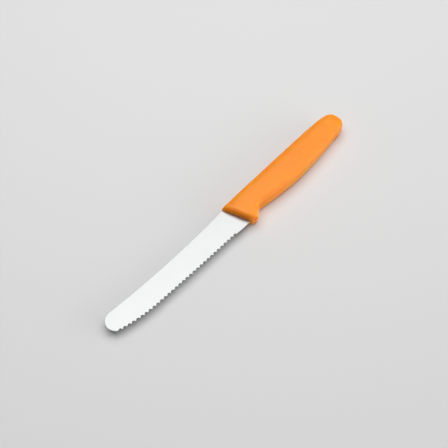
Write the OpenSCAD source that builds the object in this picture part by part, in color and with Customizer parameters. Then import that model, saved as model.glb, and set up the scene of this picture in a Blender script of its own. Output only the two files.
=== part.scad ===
// Small serrated tomato knife, lying on its side as it rests on a table.
// The cutting edge points to -Y, the round end of the blade to -X and the butt of the handle to +X.
// While a piece is built, x = 0 and y = 0 lie where the back of the blade enters the handle,
// and z = 0 is the middle of the blade's thickness.

/* [Blade] */
// Length of blade that shows, measured along the back
blade_l = 110.2; // [95:0.1:125]
// Width of the blade at the heel, where the cutting edge meets the handle
heel_w = 19.3; // [18:0.1:20]
// Thickness of the sheet that the blade is stamped from
blade_t = 1.2; // [0.9:0.1:1.6]
// Thickness left at the cutting edge by the flat grind
edge_t = 0.5; // [0.3:0.05:0.8]
// Depth below the back at which the flat grind starts
grind_top = 2.5; // [1:0.5:8]
// Radius of the round end
tip_r = 7.15; // [6.5:0.05:8]
// Radius of the hollow sweep of the back
back_r = 750; // [600:10:1500]
// Distance from the handle to the lowest point of that sweep
back_dip = 49; // [35:1:55]
// Radius of the long curve of the cutting edge
edge_r = 2520; // [1500:10:3500]
// Radius of the belly that carries the edge up to the round end
belly_r = 114; // [70:1:130]

/* [Serrations] */
// Distance from one scallop to the next
scallop_pitch = 3.17; // [2.6:0.01:4]
// Depth of a scallop below the points of the teeth
scallop_depth = 1.45; // [0.8:0.05:1.6]
// Flat left on each tooth between two scallops
tooth_land = 0.15; // [0.05:0.05:0.4]
// Angle between the grinding stroke and the face of the blade
scallop_angle = 25; // [18:1:35]
// Least plain stretch of edge between the handle and the first full scallop
plain_l = 13; // [9:0.5:20]
// Distance that the scallops run on round the start of the round end
tip_run = 1.1; // [0:0.1:3]
// Share of a full scallop's depth that the run-out scallop next to the plain stretch has
runout_share = 0.25; // [0.2:0.05:0.6]

/* [Tang] */
// Distance that the full-width shoulder of the blade goes into the handle
shoulder_in = 2.5; // [1.5:0.5:4]
// Length of the tang, measured from the front of the handle
tang_l = 68; // [45:1:85]
// Width of the tang
tang_w = 11; // [8:0.5:12]
// Distance from the back of the blade down to the tang
tang_drop = 4; // [3:0.5:5]
// Number of anchor holes that the plastic runs through
anchor_n = 3; // [1:1:3]
// Diameter of an anchor hole
anchor_d = 5; // [3:0.5:6]
// Distance from one anchor hole to the next
anchor_pitch = 19; // [12:1:20]
// Clearance between the tang and the plastic moulded round it
tang_fit = 0.05; // [0.02:0.01:0.1]

/* [Handle] */
// Length of the handle along the back
handle_l = 112.4; // [105:0.1:125]
// Thickness of the handle across its two flat sides
handle_t = 11.4; // [10:0.1:14]
// Depth that each side's flat is sunk below the full curve of the section
side_flat = 0.1; // [0.05:0.05:0.3]
// Squareness of the section, where 2 is an ellipse and more is squarer
section_power = 3.5; // [2.2:0.1:4]
// Lean of the handle's front face from square across the blade
front_lean = 18.6; // [5:0.2:25]
// Height that the handle's back stands above the back of the blade
back_step = 0.5; // [0.4:0.1:2]
// Further rise of the handle's back at its highest point
back_crown = 0.7; // [0:0.1:2]
// Distance from the front of the handle to that highest point
crown_x = 72.5; // [55:0.5:80]
// Radius of the front corner at the back
corner_r = 0.8; // [0.5:0.1:3]
// Distance over which the front face rounds into the flat sides
nose_l = 4.3; // [3:0.1:6]
// Thickness of the flat part of the front face
nose_t = 4; // [3:0.1:6]

/* [Grip line] */
// Depth of the finger guard below the back of the blade
guard_y = 21.5; // [21:0.1:24]
// Radius of the guard's front corner
guard_r = 4.6; // [2:0.1:6]
// Length of the guard's rear slope, from its lowest point to the neck
guard_slope = 9; // [6:0.1:12]
// Depth of the neck below the back of the blade
neck_y = 16.4; // [16:0.1:19]
// Depth of the palm swell below the back of the blade
swell_y = 19.8; // [19:0.1:23]
// Distance from the front of the handle to the palm swell
swell_x = 55.8; // [45:0.1:65]
// Depth of the butt below the back of the blade, where it starts to round
butt_y = 16.4; // [16:0.1:20]
// Length of the round at the butt along the back
butt_back_l = 21.2; // [8:0.1:24]
// Length of the round at the butt along the grip
butt_grip_l = 15; // [12:0.1:30]
// Length over which the butt rounds across its thickness
butt_side_l = 12.4; // [5:0.1:15]
// Depth of the rearmost point of the butt below the back of the blade
butt_end_y = 8.8; // [6:0.1:12]
// Squareness of the butt's round towards the back, where 2 is an ellipse
back_power = 3.6; // [2:0.1:4.5]
// Squareness of the butt's round towards the grip
grip_power = 2.4; // [2:0.1:3.5]
// Shape of the taper behind the swell, where 1 is straight and more is fuller
taper_power = 1.6; // [1:0.1:2]
// Shape of the guard's rear slope, where more is thinner
guard_power = 1.5; // [1:0.1:2.5]

/* [Hidden] */

// Angle step of the arcs that are drawn as points
arc_step = 4;
// Points round a section of the handle, and distance between sections along the grip
section_n = 40;
section_gap = 2.5;
// Sections in the front rounding, round the guard and in the butt
nose_n = 7;
guard_n = 14;
butt_n = 12;
// How far a cutter reaches past what it cuts
past = 5;
// Facets of round cutters
round_n = 48;

half_t = handle_t / 2;
lean = tan(front_lean);
// Height of the highest point of the handle's back above the back of the blade
back_top = back_step + back_crown;
// Exponent that moves the crown of the back from the middle to its place
crown_power = ln(0.5) / ln(crown_x / handle_l);

// Centres of the arcs that make the blade's outline
back_c = [-back_dip, back_r - pow(back_dip, 2) / (2 * back_r)];
tip_c = [tip_r - blade_l,
         back_c[1] - sqrt(pow(back_r + tip_r, 2) - pow(tip_r - blade_l - back_c[0], 2))];
heel = [heel_w * lean, -heel_w];
edge_c = heel + [0, edge_r];
belly_c = meet(edge_c, edge_r - belly_r, tip_c, belly_r - tip_r);

// Directions in which each arc of the edge touches the next, and the lengths of those arcs
edge_end = heading(edge_c, belly_c);
belly_end = heading(belly_c, tip_c);
edge_len = arc_len(edge_r, 270 - edge_end);
belly_len = arc_len(belly_r, edge_end - belly_end);

// Radius of the grinding cylinder, from the chord and the depth of its cut in the face
half_chord = (scallop_pitch - tooth_land) / 2;
scallop_dip = scallop_depth * sin(scallop_angle);
scallop_r = (pow(half_chord, 2) + pow(scallop_dip, 2)) / (2 * scallop_dip);
// Distance along the edge from the heel to the last scallop, and the number of full scallops
last_scallop = edge_len + belly_len + tip_run;
scallop_n = floor((last_scallop - plain_l) / scallop_pitch) + 1;

// The guard's lowest point and the neck behind it, along the handle
guard_x = (guard_y - guard_r) * lean + guard_r;
neck_x = guard_x + guard_slope;
// Stretch over which the leaning sections at the front turn square
square_l = 40;

// Direction from one point to another, from 0 to 360
function heading(a, b) = (atan2(b[1] - a[1], b[0] - a[0]) + 360) % 360;
// Lower meeting point of two circles whose centres lie one above the other
function meet(a, ra, b, rb) =
    let (d = norm(b - a), s = (ra * ra - rb * rb + d * d) / (2 * d), u = (b - a) / d)
    a + s * u + sqrt(ra * ra - s * s) * [-u[1], u[0]];
function arc_len(r, angle) = r * angle * PI / 180;
function turn(r, length) = length / r * 180 / PI;
function on_arc(c, r, angle) = c + r * [cos(angle), sin(angle)];
function arc(c, r, a0, a1) =
    let (n = ceil(abs(a1 - a0) / min(arc_step, turn(r, arc_step))))
    [for (i = [0 : n]) on_arc(c, r, a0 + (a1 - a0) * i / n)];
function ease(u) = u <= 0 ? 0 : u >= 1 ? 1 : u * u * (3 - 2 * u);
// Quarter of a superellipse: 1 at the start of a round, falling to 0 at its end
function round_off(u, power) = u <= 0 ? 1 : u >= 1 ? 0 : pow(1 - pow(u, power), 1 / power);

// Outline of the stamped blank, grown all round by the given amount
function blank(grow) =
    let (back_in = shoulder_in + grow,
         top = -tang_drop + grow,
         foot = -tang_drop - tang_w - grow,
         end = tang_l + grow,
         back_start = heading(back_c, [back_in, 0]),
         back_stop = heading(back_c, tip_c))
    concat(
        arc(back_c, back_r - grow, back_start, back_stop),
        arc(tip_c, tip_r + grow, heading(tip_c, back_c), belly_end),
        arc(belly_c, belly_r + grow, belly_end, edge_end),
        arc(edge_c, edge_r + grow, edge_end, 270),
        [[heel[0] + back_in, heel[1] - grow], [back_in - foot * lean, foot]],
        arc([end - tang_w / 2, (top + foot) / 2], (top - foot) / 2, 270, 450),
        [[back_in - top * lean, top]]);

// Sheet of the blank between its two ground faces
module sheet(grow) {
    half = blade_t / 2 + grow;
    difference() {
        translate([0, 0, -half]) linear_extrude(2 * half) polygon(blank(grow));
        for (side = [-1, 1]) ground_face(side, grow);
    }
}

// What the flat grind takes off one face, from the back down to the edge
module ground_face(side, grow) {
    slope = (blade_t - edge_t) / 2 / (heel_w - grind_top);
    drop = heel_w + past;
    flat = blade_t / 2 + grow;
    low = flat - slope * (drop - grind_top);
    translate([-blade_l - past, 0, 0])
        rotate([90, 0, 90])
            linear_extrude(blade_l + heel[0] + shoulder_in + past)
                polygon([[-grind_top, side * flat], [-drop, side * low],
                         [-drop, side * (flat + past)], [-grind_top, side * (flat + past)]]);
}

// Point of the edge and its outward direction, at a distance along the edge from the heel
function edge_at(s) =
    s < edge_len
        ? let (a = 270 - turn(edge_r, s)) [on_arc(edge_c, edge_r, a), a]
    : s < edge_len + belly_len
        ? let (a = edge_end - turn(belly_r, s - edge_len)) [on_arc(belly_c, belly_r, a), a]
    : let (a = belly_end - turn(tip_r, s - edge_len - belly_len)) [on_arc(tip_c, tip_r, a), a];

// One stroke of the grinding wheel, which hollows the lower face and breaks out through the edge
module scallop(s, depth) {
    spot = edge_at(s);
    translate([spot[0][0], spot[0][1], edge_t / 2])
        rotate([0, 0, spot[1]])
            translate([-depth, 0, 0])
                rotate([0, 90 - scallop_angle, 0])
                    translate([scallop_r, 0, 0])
                        cylinder(h = 2 * past, r = scallop_r, center = true, $fn = round_n);
}

// Cuts a number of scallops one after another, the first of them nearest the round end
module serrated(n) {
    if (n == 0) {
        children();
    } else {
        difference() {
            serrated(n - 1) children();
            scallop(last_scallop - (n - 1) * scallop_pitch, scallop_depth);
        }
    }
}

module anchors(d) {
    for (i = [0 : anchor_n - 1])
        translate([tang_l - tang_w / 2 - i * anchor_pitch, -tang_drop - tang_w / 2, 0])
            cylinder(h = handle_t, d = d, center = true, $fn = round_n);
}

// Height of the handle's back at a distance along it
function back_line(x) =
    let (crown = sin(180 * pow(min(1, x / handle_l), crown_power)),
         line = back_step + back_crown * crown,
         corner = x < corner_r ? corner_r - sqrt(pow(corner_r, 2) - pow(corner_r - x, 2)) : 0,
         u = (x - handle_l + butt_back_l) / butt_back_l)
    -butt_end_y + (line - corner + butt_end_y) * round_off(u, back_power);

// Depth of the grip line, from the guard over the neck and the swell to the butt
function grip_line(x) =
    let (rise = x < swell_x ? sin(90 * max(0, x - neck_x) / (swell_x - neck_x)) : 1,
         taper = pow(max(0, x - swell_x) / (handle_l - butt_grip_l - swell_x), taper_power),
         grip = neck_y + (swell_y - neck_y) * rise - (swell_y - butt_y) * min(1, taper),
         slope = pow(cos(90 * min(1, abs(x - guard_x) / guard_slope)), guard_power),
         front = guard_r - sqrt(max(0, pow(guard_r, 2) - pow(max(0, guard_x - x), 2))),
         guard = x < guard_x ? guard_y - front : neck_y + (guard_y - neck_y) * slope,
         u = (x - handle_l + butt_grip_l) / butt_grip_l)
    -butt_end_y - (max(grip, guard) - butt_end_y) * round_off(u, grip_power);

// Half of the handle's thickness before its sides are flattened
function side_line(x) =
    let (full = half_t + side_flat,
         nose = x < nose_l ? sqrt(1 - pow(1 - x / nose_l, 2)) : 1,
         u = (x - handle_l + butt_side_l) / butt_side_l)
    (nose_t / 2 + (full - nose_t / 2) * nose) * round_off(u, back_power);

// Section of the handle at a distance behind its front face; front sections lean as the face does
function section(x) =
    let (ahead = (guard_x - guard_r) * (1 - ease(x / square_l)),
         back = [x, back_line(x)],
         grip = [x + ahead, grip_line(x + ahead)],
         middle = (back + grip) / 2,
         reach = (back - grip) / 2,
         h = side_line(x))
    [for (i = [0 : section_n - 1])
        let (a = 360 * i / section_n,
             c = squared(cos(a)),
             p = middle + c * reach)
        [p[0], p[1], h * squared(sin(a))]];
function squared(v) = sign(v) * pow(abs(v), 2 / section_power);

// Distances of the sections behind the front face, closest together where the form turns fastest
butt_start = handle_l - butt_grip_l;
grip_n = ceil((butt_start - guard_x - guard_slope) / section_gap);
stations = concat(
    [for (i = [0 : nose_n - 1]) nose_l * (1 - cos(90 * i / nose_n))],
    [for (i = [0 : guard_n - 1]) nose_l + (neck_x - nose_l) * i / guard_n],
    [for (i = [0 : grip_n - 1]) neck_x + (butt_start - neck_x) * i / grip_n],
    [for (i = [0 : butt_n - 1]) butt_start + butt_grip_l * sin(90 * i / butt_n)]);

module grip_form() {
    n = section_n;
    last = len(stations) - 1;
    rings = [for (x = stations) each section(x)];
    points = concat(rings, [[handle_l, -butt_end_y, 0]]);
    walls = [for (j = [0 : last - 1], i = [0 : n - 1])
                let (a = j * n + i, b = j * n + (i + 1) % n)
                each [[a, b, b + n], [a, b + n, a + n]]];
    front = [[for (i = [0 : n - 1]) n - 1 - i]];
    butt = [for (i = [0 : n - 1]) [last * n + i, last * n + (i + 1) % n, len(rings)]];
    polyhedron(points = points, faces = concat(walls, front, butt), convexity = 6);
}

// Shifts the finished pieces so that the origin is under the middle of the whole knife
module placed() {
    translate([(blade_l - handle_l) / 2, (guard_y - back_top) / 2, half_t]) children();
}

module blade() {
    color("#e8e9ea")
        placed()
            difference() {
                serrated(scallop_n) sheet(0);
                scallop(last_scallop - scallop_n * scallop_pitch, scallop_depth * runout_share);
                anchors(anchor_d);
            }
}

module handle() {
    color("#ff8a1e")
        placed()
            difference() {
                intersection() {
                    grip_form();
                    translate([-past, -2 * guard_y, -half_t])
                        cube([handle_l + 2 * past, 4 * guard_y, handle_t]);
                }
                difference() {
                    sheet(tang_fit);
                    anchors(anchor_d - 2 * tang_fit);
                }
            }
}

blade();
handle();
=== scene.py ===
"""A small tomato knife with a moulded handle, lying on its side in a plain pale studio."""

import math

import bmesh
import bpy
from bpy.props import FloatProperty, FloatVectorProperty, PointerProperty
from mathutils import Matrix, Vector


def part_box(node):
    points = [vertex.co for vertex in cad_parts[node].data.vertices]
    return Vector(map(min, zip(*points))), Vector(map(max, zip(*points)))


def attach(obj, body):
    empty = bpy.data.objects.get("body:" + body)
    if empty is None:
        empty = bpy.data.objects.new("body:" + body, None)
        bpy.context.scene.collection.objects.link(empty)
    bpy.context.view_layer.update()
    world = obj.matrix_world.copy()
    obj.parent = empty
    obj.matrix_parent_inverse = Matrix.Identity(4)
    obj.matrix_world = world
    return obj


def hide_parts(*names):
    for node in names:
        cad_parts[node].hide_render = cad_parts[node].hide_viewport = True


bl_info = {
    "name": "Tomato Knife",
    "version": (1, 0, 0),
    "blender": (4, 5, 0),
    "location": "3D View > Sidebar > Knife",
    "description": "Makes a tomato knife's handle, finishes its blade and sets up a pale studio",
    "category": "Object",
}

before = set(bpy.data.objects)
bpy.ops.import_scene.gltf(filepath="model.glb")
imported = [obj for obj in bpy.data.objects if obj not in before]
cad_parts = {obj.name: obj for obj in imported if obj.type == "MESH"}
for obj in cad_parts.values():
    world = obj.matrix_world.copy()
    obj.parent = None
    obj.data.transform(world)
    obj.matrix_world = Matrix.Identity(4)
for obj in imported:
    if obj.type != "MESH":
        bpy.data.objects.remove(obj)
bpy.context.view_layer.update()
BODY = "root"
MM = 0.001

# Points closer together than this are one point
TOUCH = 0.001 * MM

# Nearly all values of a noise node lie between these two
NOISE_SPAN = {"From Min": 0.3, "From Max": 0.7}

# Between these distances from the knife the board fades to its plain colour
BOARD_FADE = {"From Min": 0.4, "From Max": 0.8}

# The box round the moulded handle, and the middle of its thickness
HANDLE_LOW, HANDLE_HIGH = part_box("handle")
MIDDLE_Z = (HANDLE_LOW.z + HANDLE_HIGH.z) / 2


def length(name, description, millimetres):
    """A size that a user can change, given here in millimetres."""
    return FloatProperty(name=name, description=description, default=millimetres * MM,
                         min=0.0, unit="LENGTH", subtype="DISTANCE", precision=4)


def share(name, description, value, low=0.0, high=1.0):
    """A plain factor that a user can change."""
    return FloatProperty(name=name, description=description, default=value, min=low, max=high,
                         subtype="FACTOR")


def power(name, description, value):
    """An exponent that a user can change."""
    return FloatProperty(name=name, description=description, default=value, min=1.0, max=5.0)


def linear(hex_colour):
    """An sRGB hex colour as linear red, green and blue."""
    values = [int(hex_colour[i:i + 2], 16) / 255 for i in (1, 3, 5)]
    return [v / 12.92 if v <= 0.04045 else ((v + 0.055) / 1.055) ** 2.4 for v in values]


def colour(name, description, hex_colour):
    """A colour that a user can change, given here as sRGB hex."""
    return FloatVectorProperty(name=name, description=description, default=linear(hex_colour),
                               subtype="COLOR", size=3, min=0.0, max=1.0)


class HandleSizes(bpy.types.PropertyGroup):
    """Sizes of the moulded handle, measured from where the back of the blade enters it."""

    length: length("Length", "Length of the handle along its back", 112.4)
    thickness: length("Thickness", "Thickness across the two flat sides", 11.4)
    side_flat: length("Side flat", "Depth that each flat is sunk below the full curve", 0.1)
    section_power: power("Section", "Squareness of the section, where 2 is an ellipse", 3.5)
    front_lean: FloatProperty(name="Front lean", description="Lean of the front face",
                              default=math.radians(18.6), subtype="ANGLE", unit="ROTATION")
    back_step: length("Back step", "Height of the handle's back above the blade's", 0.5)
    back_crown: length("Back crown", "Further rise of the back at its highest", 0.7)
    crown_at: length("Crown place", "Distance from the front to the highest point", 72.5)
    corner_radius: length("Corner", "Radius of the front corner at the back", 0.8)
    nose_length: length("Nose", "Distance over which the front rounds into the sides", 4.3)
    nose_thickness: length("Nose thickness", "Thickness of the flat front face", 4.0)
    # A trace less than the solid's, because this smoother form fills its curves further out
    guard_depth: length("Guard", "Depth of the finger guard below the blade's back", 21.47)
    guard_radius: length("Guard corner", "Radius of the guard's front corner", 4.6)
    guard_slope: length("Guard slope", "Length of the guard's rear slope", 9.0)
    neck_depth: length("Neck", "Depth of the neck below the blade's back", 16.4)
    swell_depth: length("Swell", "Depth of the palm swell below the blade's back", 19.8)
    swell_at: length("Swell place", "Distance from the front to the palm swell", 55.8)
    butt_depth: length("Butt", "Depth of the butt where it starts to round", 16.4)
    butt_back: length("Butt back", "Length of the butt's round along the back", 21.2)
    butt_grip: length("Butt grip", "Length of the butt's round along the grip", 15.0)
    butt_side: length("Butt side", "Length of the butt's round across its thickness", 12.4)
    butt_end: length("Butt end", "Depth of the rearmost point below the blade's back", 8.8)
    parting_width: length("Parting line", "Width of the line where the mould's halves meet", 0.16)
    parting_depth: length("Parting depth", "Depth of that line", 0.025)
    slot_gap: length("Slot gap", "Crevice between the steel and the plastic", 0.12)
    dye: colour("Dye", "Colour of the dyed plastic", "#ff9408")
    grain: length("Grain", "Size of the mould's fine sandy grain", 0.35)


class BladeFinish(bpy.types.PropertyGroup):
    """Finish of the ground steel blade."""

    steel: colour("Steel", "Colour of the ground steel", "#abacac")
    edge_break: length("Edge break", "Width of the break on the edges of the back", 0.12)
    line_gap: length("Grinding lines", "Distance between the fine lines left by the belt", 0.3)
    roughness: share("Roughness", "Roughness of the satin steel", 0.34)


class StudioSettings(bpy.types.PropertyGroup):
    """Floor and light."""

    floor: colour("Floor", "Colour of the floor and backdrop", "#d9d9d9")
    lamp: FloatProperty(name="Lamp", description="Power of the broad lamp", default=11.2,
                        min=0.0, unit="POWER")
    side_lamp: FloatProperty(name="Side lamp", description="Power of the low lamp at the side",
                             default=21.2, min=0.0, unit="POWER")
    surround: share("Surround", "Strength of the pale light from all round", 0.065, 0.0, 2.0)
    window: share("Window", "Strength of the light from the side of the edge", 0.95, 0.0, 4.0)
    wall: share("Wall", "Strength of the pale wall that only reflections show", 0.27)


class HandleForm:
    """The handle's back, grip and side lines as functions of the distance behind its front."""

    # Over this length the sections turn from the lean of the front face to square across
    SQUARE_LENGTH = 40 * MM

    # Exponents of the butt's rounds, where 2 is an ellipse and more is squarer
    BACK_POWER = 3.6
    GRIP_POWER = 2.4

    # Exponents of the swell's fall to the butt and of the guard's rear slope
    TAPER_POWER = 1.6
    GUARD_POWER = 1.5

    # How many sections stand along each stretch of the handle
    NOSE_STEPS = 12
    GUARD_STEPS = 20
    GRIP_STEPS = 40
    BUTT_STEPS = 24

    def __init__(self, sizes):
        self.s = sizes
        lean = math.tan(sizes.front_lean)
        self.guard_x = (sizes.guard_depth - sizes.guard_radius) * lean + sizes.guard_radius
        self.neck_x = self.guard_x + sizes.guard_slope
        self.butt_x = sizes.length - sizes.butt_grip
        self.crown_power = math.log(0.5) / math.log(sizes.crown_at / sizes.length)

    def back_line(self, x):
        s = self.s
        crown = math.sin(math.pi * min(1, x / s.length) ** self.crown_power)
        line = s.back_step + s.back_crown * crown
        corner = 0.0
        if x < s.corner_radius:
            corner = s.corner_radius - math.sqrt(s.corner_radius ** 2
                                                 - (s.corner_radius - x) ** 2)
        u = (x - s.length + s.butt_back) / s.butt_back
        return -s.butt_end + (line - corner + s.butt_end) * round_off(u, self.BACK_POWER)

    def grip_line(self, x):
        s = self.s
        rise = 1.0
        if x < s.swell_at:
            rise = math.sin(math.pi / 2 * max(0, x - self.neck_x) / (s.swell_at - self.neck_x))
        taper = (max(0, x - s.swell_at) / (self.butt_x - s.swell_at)) ** self.TAPER_POWER
        grip = (s.neck_depth + (s.swell_depth - s.neck_depth) * rise
                - (s.swell_depth - s.butt_depth) * min(1, taper))
        if x < self.guard_x:
            ahead = self.guard_x - x
            front = s.guard_radius - math.sqrt(max(0, s.guard_radius ** 2 - ahead ** 2))
            guard = s.guard_depth - front
        else:
            fall = math.cos(math.pi / 2 * min(1, (x - self.guard_x) / s.guard_slope))
            guard = s.neck_depth + ((s.guard_depth - s.neck_depth)
                                    * max(0, fall) ** self.GUARD_POWER)
        u = (x - self.butt_x) / s.butt_grip
        return -s.butt_end - (max(grip, guard) - s.butt_end) * round_off(u, self.GRIP_POWER)

    def side_line(self, x):
        s = self.s
        full = s.thickness / 2 + s.side_flat
        nose = 1.0
        if x < s.nose_length:
            nose = math.sqrt(max(0, 1 - (1 - x / s.nose_length) ** 2))
        u = (x - s.length + s.butt_side) / s.butt_side
        flat = s.nose_thickness / 2
        return (flat + (full - flat) * nose) * round_off(u, self.BACK_POWER)

    def section(self, x):
        """Middle, half height, lean and half thickness of the section at x behind the front."""
        ahead = (self.guard_x - self.s.guard_radius) * (1 - ease(x / self.SQUARE_LENGTH))
        back = Vector((x, self.back_line(x)))
        grip = Vector((x + ahead, self.grip_line(x + ahead)))
        middle, reach = (back + grip) / 2, (back - grip) / 2
        return middle, reach.length, math.atan2(-reach.x, reach.y), self.side_line(x)

    def stations(self):
        """Distances of the sections, closest together where the form turns fastest."""
        s = self.s
        nose = [s.nose_length * (1 - math.cos(math.pi / 2 * i / self.NOSE_STEPS))
                for i in range(self.NOSE_STEPS)]
        guard = spread(s.nose_length, self.neck_x, self.GUARD_STEPS)
        grip = spread(self.neck_x, self.butt_x, self.GRIP_STEPS)
        butt = [self.butt_x + s.butt_grip * math.sin(math.pi / 2 * i / self.BUTT_STEPS)
                for i in range(self.BUTT_STEPS)]
        return nose + guard + grip + butt


def spread(start, end, steps):
    """Even distances from start on, the last of them one step before end."""
    return [start + (end - start) * i / steps for i in range(steps)]


def round_off(u, exponent):
    """Quarter of a superellipse: 1 at the start of a round, falling to 0 at its end."""
    if u <= 0:
        return 1.0
    return 0.0 if u >= 1 else (1 - u ** exponent) ** (1 / exponent)


def ease(u):
    """A soft ramp from 0 to 1."""
    u = min(1.0, max(0.0, u))
    return u * u * (3 - 2 * u)


def only(obj):
    """Deselects everything and leaves obj alone selected and active."""
    bpy.ops.object.select_all(action="DESELECT")
    obj.select_set(True)
    bpy.context.view_layer.objects.active = obj


def select_where(obj, test, mode="VERT"):
    """In edit mode, selects only the elements of obj that pass the test."""
    bpy.ops.mesh.select_mode(type=mode)
    bpy.ops.mesh.select_all(action="DESELECT")
    mesh = bmesh.from_edit_mesh(obj.data)
    elements = {"VERT": mesh.verts, "EDGE": mesh.edges, "FACE": mesh.faces}[mode]
    for element in elements:
        element.select_set(bool(test(element)))
    mesh.select_flush_mode()
    bmesh.update_edit_mesh(obj.data)


def add(nodes, kind, inputs=None, **settings):
    """Adds a shader node with its settings, and its inputs from values or other nodes' sockets."""
    made = nodes.new(kind)
    for name, value in settings.items():
        setattr(made, name, value)
    for name, value in (inputs or {}).items():
        if isinstance(value, bpy.types.NodeSocket):
            nodes.id_data.links.new(value, made.inputs[name])
        else:
            made.inputs[name].default_value = value
    return made


def new_material(name):
    """An empty node material and its nodes."""
    made = bpy.data.materials.new(name)
    made.use_nodes = True
    made.node_tree.nodes.clear()
    return made, made.node_tree.nodes


def finish_surface(nodes, shader):
    """Puts the shader on the material's surface."""
    add(nodes, "ShaderNodeOutputMaterial", {"Surface": shader})


def moulded_plastic(sizes):
    """Dyed polypropylene from a spark-eroded mould: a soft sheen broken by a fine sandy grain."""
    made, nodes = new_material("Moulded polypropylene")
    place = add(nodes, "ShaderNodeTexCoord").outputs["Object"]
    # The flow of the melt leaves faint clouds of colour, about 50 mm long and 17 mm wide
    flow = add(nodes, "ShaderNodeMapping", {"Vector": place, "Scale": (20, 60, 60)})
    clouds = add(nodes, "ShaderNodeTexNoise", {"Vector": flow.outputs[0], "Scale": 1.0,
                                               "Detail": 3.0, "Roughness": 0.5})
    tint = add(nodes, "ShaderNodeMapRange", {**NOISE_SPAN, "Value": clouds.outputs[0],
                                             "To Min": 0.965, "To Max": 1.035})
    # Sockets 6 and 7 are the two colours that are mixed, and socket 0 their share
    dye = add(nodes, "ShaderNodeMix", {0: 1.0, 6: (*sizes.dye, 1), 7: tint.outputs[0]},
              data_type="RGBA", blend_type="MULTIPLY")
    # The grain is drawn at its real size, which breaks up the edge of each highlight
    grain = add(nodes, "ShaderNodeTexNoise", {"Vector": place, "Scale": 1 / sizes.grain,
                                              "Detail": 2.0, "Roughness": 0.6})
    bump = add(nodes, "ShaderNodeBump", {"Height": grain.outputs[0], "Strength": 0.25,
                                         "Distance": 0.05 * MM})
    gloss = add(nodes, "ShaderNodeMapRange", {**NOISE_SPAN, "Value": grain.outputs[0],
                                              "To Min": 0.38, "To Max": 0.48})
    # Light sinks a few millimetres into the plastic, the red part of it furthest
    shader = add(nodes, "ShaderNodeBsdfPrincipled", {
        "Base Color": dye.outputs[2], "Roughness": gloss.outputs[0], "IOR": 1.46,
        "Subsurface Weight": 1.0, "Subsurface Radius": (1.0, 0.1, 0.03),
        "Subsurface Scale": 4.0 * MM, "Normal": bump.outputs[0]})
    finish_surface(nodes, shader.outputs[0])
    return made


def ground_steel(finish):
    """Stainless sheet ground on a fine belt: a pale satin with hair lines across the blade."""
    made, nodes = new_material("Ground stainless steel")
    source = add(nodes, "ShaderNodeTexCoord").outputs
    # Each hair line is about 40 mm long and so runs right across the blade. The lines are
    # drawn coarser than a fine belt leaves them, because the real ones are too fine to show.
    stretch = add(nodes, "ShaderNodeMapping", {
        "Vector": source["Object"], "Scale": (1 / finish.line_gap, 25, 25)})
    lines = add(nodes, "ShaderNodeTexNoise", {"Vector": stretch.outputs[0], "Scale": 1.0,
                                              "Detail": 3.0, "Roughness": 0.6})
    belt = add(nodes, "ShaderNodeMapRange", {
        **NOISE_SPAN, "Value": lines.outputs[0],
        "To Min": finish.roughness - 0.05, "To Max": finish.roughness + 0.05})
    # The scallops come from a finer wheel and the edges from tumbling, so both shine more.
    # They are told by their slope, because the two ground faces lie nearly level.
    slope = add(nodes, "ShaderNodeSeparateXYZ", {0: source["Normal"]}).outputs["Z"]
    level = add(nodes, "ShaderNodeMath", {0: slope}, operation="ABSOLUTE")
    shine = add(nodes, "ShaderNodeMapRange", {"Value": level.outputs[0], "From Min": 0.95,
                                              "From Max": 0.99, "To Min": 0.55, "To Max": 1.0})
    rough = add(nodes, "ShaderNodeMath", {0: belt.outputs[0], 1: shine.outputs[0]},
                operation="MULTIPLY")
    bump = add(nodes, "ShaderNodeBump", {"Height": lines.outputs[0], "Strength": 0.08,
                                         "Distance": 0.02 * MM})
    shader = add(nodes, "ShaderNodeBsdfPrincipled", {
        "Base Color": (*finish.steel, 1), "Metallic": 1.0, "Roughness": rough.outputs[0],
        "Normal": bump.outputs[0]})
    finish_surface(nodes, shader.outputs[0])
    return made


def studio_paper(colour_rgb):
    """Matt painted board, pale and even, which fades to its plain colour far from the knife."""
    made, nodes = new_material("Matt pale board")
    place = add(nodes, "ShaderNodeTexCoord").outputs["Object"]
    # The brushed paint has a faint tooth of about 1 mm
    tooth = add(nodes, "ShaderNodeTexNoise", {"Vector": place, "Scale": 900.0, "Detail": 2.0})
    bump = add(nodes, "ShaderNodeBump", {"Height": tooth.outputs[0], "Strength": 0.05,
                                         "Distance": 0.05 * MM})
    shader = add(nodes, "ShaderNodeBsdfPrincipled", {
        "Base Color": (*colour_rgb, 1), "Roughness": 0.9, "Specular IOR Level": 0.1,
        "Normal": bump.outputs[0]})
    # Far out, the camera and reflections see the board evenly pale. No light for the knife
    # comes from this, because every other ray still meets the painted board.
    plain = add(nodes, "ShaderNodeEmission", {"Color": (*colour_rgb, 1)})
    reach = add(nodes, "ShaderNodeVectorMath", {0: place}, operation="LENGTH")
    far = add(nodes, "ShaderNodeMapRange", {**BOARD_FADE, "Value": reach.outputs["Value"]},
              interpolation_type="SMOOTHSTEP")
    path = add(nodes, "ShaderNodeLightPath").outputs
    seen = add(nodes, "ShaderNodeMath", {0: path["Is Camera Ray"], 1: path["Is Glossy Ray"]},
               operation="ADD")
    seen = add(nodes, "ShaderNodeMath", {0: seen.outputs[0], 1: path["Is Transmission Ray"]},
               operation="ADD", use_clamp=True)
    blend = add(nodes, "ShaderNodeMath", {0: far.outputs[0], 1: seen.outputs[0]},
                operation="MULTIPLY")
    board = add(nodes, "ShaderNodeMixShader", {0: blend.outputs[0], 1: shader.outputs[0],
                                               2: plain.outputs[0]})
    finish_surface(nodes, board.outputs[0])
    return made


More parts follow.
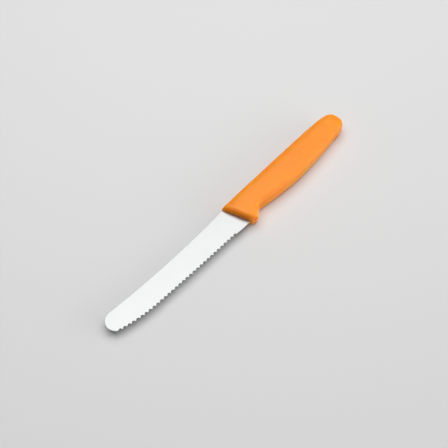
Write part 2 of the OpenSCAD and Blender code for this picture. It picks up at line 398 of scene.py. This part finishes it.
def blade_copy(name, whole_faces=True):
    """A merged copy of the solid blade, as a new object at the origin."""
    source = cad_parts["blade"]
    made = bpy.data.objects.new(name, source.data.copy())
    bpy.context.scene.collection.objects.link(made)
    made.data.materials.clear()
    only(made)
    bpy.ops.object.mode_set(mode="EDIT")
    bpy.ops.mesh.select_all(action="SELECT")
    bpy.ops.mesh.remove_doubles(threshold=TOUCH)
    if whole_faces:
        bpy.ops.mesh.dissolve_limited(angle_limit=math.radians(0.05))
    bpy.ops.object.mode_set(mode="OBJECT")
    return made


class KNIFE_OT_blade(bpy.types.Operator):
    """Dress the stamped and ground blade in satin steel, with its sharp corners smoothed"""

    bl_idname = "knife.add_blade"
    bl_label = "Blade"

    # How much of a flat side's normal points straight up or down
    FLAT = 0.99

    # An edge of the back joins a side to the rim: the side's normal points up or down by at
    # least this, and the rim's by at most this while it looks to the back by at least this
    SIDE_UPWARD = 0.9
    RIM_UPWARD = 0.1
    RIM_BACKWARD = 0.3

    SMOOTH_ANGLE = math.radians(20)

    def execute(self, context):
        finish = context.scene.knife_blade
        blade = blade_copy("knife_blade")
        self.break_back_edges(blade, finish)
        bpy.ops.object.shade_smooth_by_angle(angle=self.SMOOTH_ANGLE)
        bpy.ops.object.mode_set(mode="EDIT")
        select_where(blade, lambda face: abs(face.normal.z) > self.FLAT, "FACE")
        bpy.ops.mesh.faces_shade_flat()
        bpy.ops.object.mode_set(mode="OBJECT")
        blade.data.materials.append(ground_steel(finish))
        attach(blade, BODY)
        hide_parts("blade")
        return {"FINISHED"}

    def break_back_edges(self, blade, finish):
        """Rounds the two long edges of the back a little, as tumbling does after stamping."""
        def along_back(edge):
            if len(edge.link_faces) != 2:
                return False
            rim, side = sorted(edge.link_faces, key=lambda f: abs(f.normal.z))
            return (abs(rim.normal.z) < self.RIM_UPWARD and rim.normal.y > self.RIM_BACKWARD
                    and abs(side.normal.z) > self.SIDE_UPWARD
                    and all(vertex.co.x < HANDLE_LOW.x for vertex in edge.verts))
        bpy.ops.object.mode_set(mode="EDIT")
        select_where(blade, along_back, "EDGE")
        bpy.ops.mesh.bevel(offset=finish.edge_break, segments=2, affect="EDGES")
        bpy.ops.object.mode_set(mode="OBJECT")


class KNIFE_OT_handle(bpy.types.Operator):
    """Mould the handle: one ring drawn back through its sections, flattened and slotted"""

    bl_idname = "knife.add_handle"
    bl_label = "Handle"

    # How many points are on each ring
    RING = 72

    SMOOTH_ANGLE = math.radians(35)

    def execute(self, context):
        sizes = context.scene.knife_handle
        form = HandleForm(sizes)
        handle = self.first_ring(sizes)
        self.draw_back(form)
        self.close_ends(handle, form)
        self.flatten_sides(handle, sizes)
        self.mark_parting(handle, sizes)
        bpy.ops.object.mode_set(mode="OBJECT")
        self.cut_slot(handle)
        only(handle)
        bpy.ops.object.shade_smooth_by_angle(angle=self.SMOOTH_ANGLE)
        handle.data.materials.append(moulded_plastic(sizes))
        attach(handle, BODY)
        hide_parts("handle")
        return {"FINISHED"}

    def first_ring(self, sizes):
        """A circle across the handle, squared to the section's form and left in edit mode."""
        bpy.ops.object.select_all(action="DESELECT")
        bpy.ops.mesh.primitive_circle_add(vertices=self.RING, radius=1.0,
                                          rotation=(0, math.pi / 2, 0))
        handle = bpy.context.object
        handle.name = handle.data.name = "knife_handle"
        bpy.ops.object.transform_apply(location=True, rotation=True, scale=True)
        bpy.ops.object.mode_set(mode="EDIT")
        bpy.ops.mesh.select_mode(type="VERT")
        mesh = bmesh.from_edit_mesh(handle.data)
        bend = 2 / sizes.section_power
        for vertex in mesh.verts:
            y, z = vertex.co.y, vertex.co.z
            vertex.co = (0, math.copysign(abs(y) ** bend, y), math.copysign(abs(z) ** bend, z))
        bmesh.update_edit_mesh(handle.data)
        bpy.ops.mesh.select_all(action="SELECT")
        return handle

    def draw_back(self, form):
        """Extrudes the ring from station to station, sized, leant and moved to each section."""
        place, high, lean, thick = Vector((0, 0, 0)), 1.0, 0.0, 1.0
        for number, x in enumerate(form.stations()):
            middle, new_high, new_lean, new_thick = form.section(x)
            centre = Vector((self.front_x + middle.x, self.back_y + middle.y, MIDDLE_Z))
            if number:
                bpy.ops.mesh.extrude_region_move()
            turn(-lean, place)
            bpy.ops.transform.resize(value=(1, new_high / high, new_thick / thick),
                                     center_override=place)
            turn(new_lean, place)
            bpy.ops.transform.translate(value=centre - place)
            place, high, lean, thick = centre, new_high, new_lean, new_thick

    @property
    def front_x(self):
        """Place of the handle's front at the back of the blade, in the knife's frame."""
        return HANDLE_HIGH.x - bpy.context.scene.knife_handle.length

    @property
    def back_y(self):
        """Height of the blade's back where it enters the handle, in the knife's frame."""
        sizes = bpy.context.scene.knife_handle
        return HANDLE_HIGH.y - sizes.back_step - sizes.back_crown

    def close_ends(self, handle, form):
        """Closes the butt to a point and the front with a flat face."""
        tip = Vector((self.front_x + form.s.length, self.back_y - form.s.butt_end, MIDDLE_Z))
        bpy.ops.mesh.extrude_region_move()
        bpy.ops.mesh.merge(type="CENTER")
        mesh = bmesh.from_edit_mesh(handle.data)
        for vertex in mesh.verts:
            if vertex.select:
                vertex.co = tip
        bmesh.update_edit_mesh(handle.data)
        bpy.ops.mesh.select_mode(type="EDGE")
        bpy.ops.mesh.select_all(action="DESELECT")
        bpy.ops.mesh.select_non_manifold()
        bpy.ops.mesh.edge_face_add()
        bpy.ops.mesh.select_all(action="SELECT")
        bpy.ops.mesh.normals_make_consistent(inside=False)

    def flatten_sides(self, handle, sizes):
        """Presses what stands above each flat side down to it."""
        half = sizes.thickness / 2
        for side in (-1, 1):
            select_where(handle, lambda v: (v.co.z - MIDDLE_Z) * side > half)
            bpy.ops.transform.resize(value=(1, 1, 0),
                                     center_override=(0, 0, MIDDLE_Z + side * half))

    def mark_parting(self, handle, sizes):
        """Sinks the fine line that the mould's two halves leave all along the middle."""
        def on_line(vertex):
            return abs(vertex.co.z - MIDDLE_Z) < TOUCH and vertex.co.x < self.butt_tip_x
        select_where(handle, lambda edge: all(on_line(v) for v in edge.verts), "EDGE")
        bpy.ops.mesh.bevel(offset=sizes.parting_width / 2, segments=2, affect="EDGES")
        select_where(handle, on_line)
        bpy.ops.transform.shrink_fatten(value=-sizes.parting_depth)

    @property
    def butt_tip_x(self):
        """Only the butt's rearmost point lies beyond this place."""
        return HANDLE_HIGH.x - 0.01 * MM

    def cut_slot(self, handle):
        """Takes the tang, its shoulders and its holes out of the handle."""
        tang = blade_copy("tang_cutter", whole_faces=False)
        bpy.ops.object.modifier_add(type="DISPLACE")
        gap = tang.modifiers[-1]
        gap.strength = bpy.context.scene.knife_handle.slot_gap
        gap.mid_level = 0.0
        bpy.ops.object.modifier_apply(modifier=gap.name)
        only(handle)
        bpy.ops.object.modifier_add(type="BOOLEAN")
        cut = handle.modifiers[-1]
        cut.object = tang
        cut.operation = "DIFFERENCE"
        cut.solver = "EXACT"
        bpy.ops.object.modifier_apply(modifier=cut.name)
        bpy.data.objects.remove(tang)


def turn(angle, centre):
    """Turns the selection about the vertical through centre, anticlockwise seen from above."""
    bpy.ops.transform.rotate(value=-angle, orient_axis="Z", center_override=centre)


class KNIFE_OT_studio(bpy.types.Operator):
    """Set out the pale floor, the two lamps, the surround and the camera"""

    bl_idname = "knife.add_studio"
    bl_label = "Studio"

    # The board is round, and its rim curves up in short steps into a low wall
    FLOOR_RADIUS = 3.0
    FLOOR_SIDES = 96
    RIM_STEPS = 6
    RIM_STEP = 0.3
    WALL_HEIGHT = 0.4

    # The broad lamp hangs over the handle, and the low one stands on the grip's side
    LAMP_PLACE = (0.2, 0.2, 0.9)
    LAMP_SIZE = 1.2
    SIDE_PLACE = (1.25, -1.85, 0.42)
    SIDE_TURN = (math.radians(80), 0, math.radians(33.7))
    SIDE_SIZE = (2.1, 0.73)

    # Ways to the pale window and the pale wall in the surround, and the cosines between
    # which each of them fades in
    WINDOW_WAY = (0.7, -0.7, 0.17)
    WINDOW_FADE = (0.6, 0.9)
    WALL_WAY = (-0.64, 0.64, 0.42)
    WALL_FADE = (0.4, 0.85)

    # The camera that was fitted to the knife's outline
    CAMERA_PLACE = (-0.2632, -0.2285, 0.5162)
    CAMERA_TURN = (math.radians(34), 0, math.radians(-47.9))
    CAMERA_LENS = 76.15

    def execute(self, context):
        settings = context.scene.knife_studio
        floor = self.board()
        floor.data.materials.append(studio_paper(settings.floor))
        self.lamps(context, settings)
        self.surround(context, settings)
        self.camera(context)
        return {"FINISHED"}

    def board(self):
        """The floor in one sheet with the low wall round it."""
        bpy.ops.object.select_all(action="DESELECT")
        bpy.ops.mesh.primitive_circle_add(vertices=self.FLOOR_SIDES, radius=self.FLOOR_RADIUS,
                                          fill_type="NGON")
        floor = bpy.context.object
        floor.name = floor.data.name = "studio_floor"
        bpy.ops.object.mode_set(mode="EDIT")
        bpy.ops.mesh.select_all(action="SELECT")
        bpy.ops.mesh.select_mode(type="EDGE")
        bpy.ops.mesh.region_to_loop()
        for step in range(self.RIM_STEPS):
            angle = math.radians(90 / self.RIM_STEPS * (step + 0.5))
            wider = 1 + math.cos(angle) * self.RIM_STEP / self.FLOOR_RADIUS
            bpy.ops.mesh.extrude_region_move()
            bpy.ops.transform.resize(value=(wider, wider, 1))
            bpy.ops.transform.translate(value=(0, 0, math.sin(angle) * self.RIM_STEP))
        bpy.ops.mesh.extrude_region_move()
        bpy.ops.transform.translate(value=(0, 0, self.WALL_HEIGHT))
        bpy.ops.object.mode_set(mode="OBJECT")
        bpy.ops.object.shade_smooth_by_angle(angle=math.radians(40))
        return floor

    def lamps(self, context, settings):
        """The broad lamp overhead, and the low one that hardly touches the floor."""
        bpy.ops.object.light_add(type="AREA", location=self.LAMP_PLACE)
        lamp = context.object
        lamp.name = "broad_lamp"
        lamp.data.shape = "SQUARE"
        lamp.data.size = self.LAMP_SIZE
        lamp.data.energy = settings.lamp
        bpy.ops.object.light_add(type="AREA", location=self.SIDE_PLACE, rotation=self.SIDE_TURN)
        side = context.object
        side.name = "side_lamp"
        side.visible_camera = False
        side.data.shape = "RECTANGLE"
        side.data.size, side.data.size_y = self.SIDE_SIZE
        side.data.energy = settings.side_lamp

    def surround(self, context, settings):
        """Dim light from all round, with a low window and a wall that reflections show."""
        world = bpy.data.worlds.new("pale surround")
        context.scene.world = world
        world.use_nodes = True
        nodes = world.node_tree.nodes
        nodes.clear()
        way = add(nodes, "ShaderNodeTexCoord").outputs["Generated"]
        # The window lights the grip's side of the handle from low down
        to_window = add(nodes, "ShaderNodeVectorMath", {0: way, 1: self.WINDOW_WAY},
                        operation="DOT_PRODUCT")
        strength = add(nodes, "ShaderNodeMapRange", {
            "Value": to_window.outputs["Value"],
            "From Min": self.WINDOW_FADE[0], "From Max": self.WINDOW_FADE[1],
            "To Min": settings.surround, "To Max": settings.surround + settings.window},
            interpolation_type="SMOOTHSTEP")
        # The wall stands on the side of the back, so that the steel never looks black
        to_wall = add(nodes, "ShaderNodeVectorMath", {0: way, 1: self.WALL_WAY},
                      operation="DOT_PRODUCT")
        pale = add(nodes, "ShaderNodeMapRange", {
            "Value": to_wall.outputs["Value"],
            "From Min": self.WALL_FADE[0], "From Max": self.WALL_FADE[1],
            "To Max": settings.wall}, interpolation_type="SMOOTHSTEP")
        path = add(nodes, "ShaderNodeLightPath").outputs
        total = add(nodes, "ShaderNodeMath", {0: pale.outputs[0], 1: path["Is Glossy Ray"],
                                              2: strength.outputs[0]}, operation="MULTIPLY_ADD")
        light = add(nodes, "ShaderNodeBackground", {"Color": (1, 1, 1, 1),
                                                    "Strength": total.outputs[0]})
        add(nodes, "ShaderNodeOutputWorld", {"Surface": light.outputs[0]})

    def camera(self, context):
        """The camera, at the photograph's place and angle."""
        bpy.ops.object.camera_add(location=self.CAMERA_PLACE, rotation=self.CAMERA_TURN)
        camera = context.object
        camera.name = "photo_camera"
        camera.data.lens = self.CAMERA_LENS
        camera.data.sensor_width = 36.0
        camera.data.clip_start = 0.01
        context.scene.camera = camera


class KNIFE_PT_panel(bpy.types.Panel):
    """Lists the knife's pieces and their sizes in the sidebar"""

    bl_idname = "KNIFE_PT_panel"
    bl_label = "Tomato Knife"
    bl_space_type = "VIEW_3D"
    bl_region_type = "UI"
    bl_category = "Knife"

    def draw(self, context):
        scene = context.scene
        for operator, group in STEPS:
            box = self.layout.box()
            box.operator(operator)
            settings = getattr(scene, group)
            for name in settings.bl_rna.properties.keys():
                if name not in ("rna_type", "name"):
                    box.prop(settings, name)


STEPS = (
    ("knife.add_blade", "knife_blade"),
    ("knife.add_handle", "knife_handle"),
    ("knife.add_studio", "knife_studio"),
)
CLASSES = (HandleSizes, BladeFinish, StudioSettings,
           KNIFE_OT_blade, KNIFE_OT_handle, KNIFE_OT_studio, KNIFE_PT_panel)


def register():
    for item in CLASSES:
        bpy.utils.register_class(item)
    bpy.types.Scene.knife_handle = PointerProperty(type=HandleSizes)
    bpy.types.Scene.knife_blade = PointerProperty(type=BladeFinish)
    bpy.types.Scene.knife_studio = PointerProperty(type=StudioSettings)


def unregister():
    for name in ("knife_handle", "knife_blade", "knife_studio"):
        delattr(bpy.types.Scene, name)
    for item in reversed(CLASSES):
        bpy.utils.unregister_class(item)


def main():
    register()
    bpy.context.scene.view_settings.view_transform = "Standard"
    bpy.ops.knife.add_blade()
    bpy.ops.knife.add_handle()
    bpy.ops.knife.add_studio()


if __name__ == "__main__":
    main()
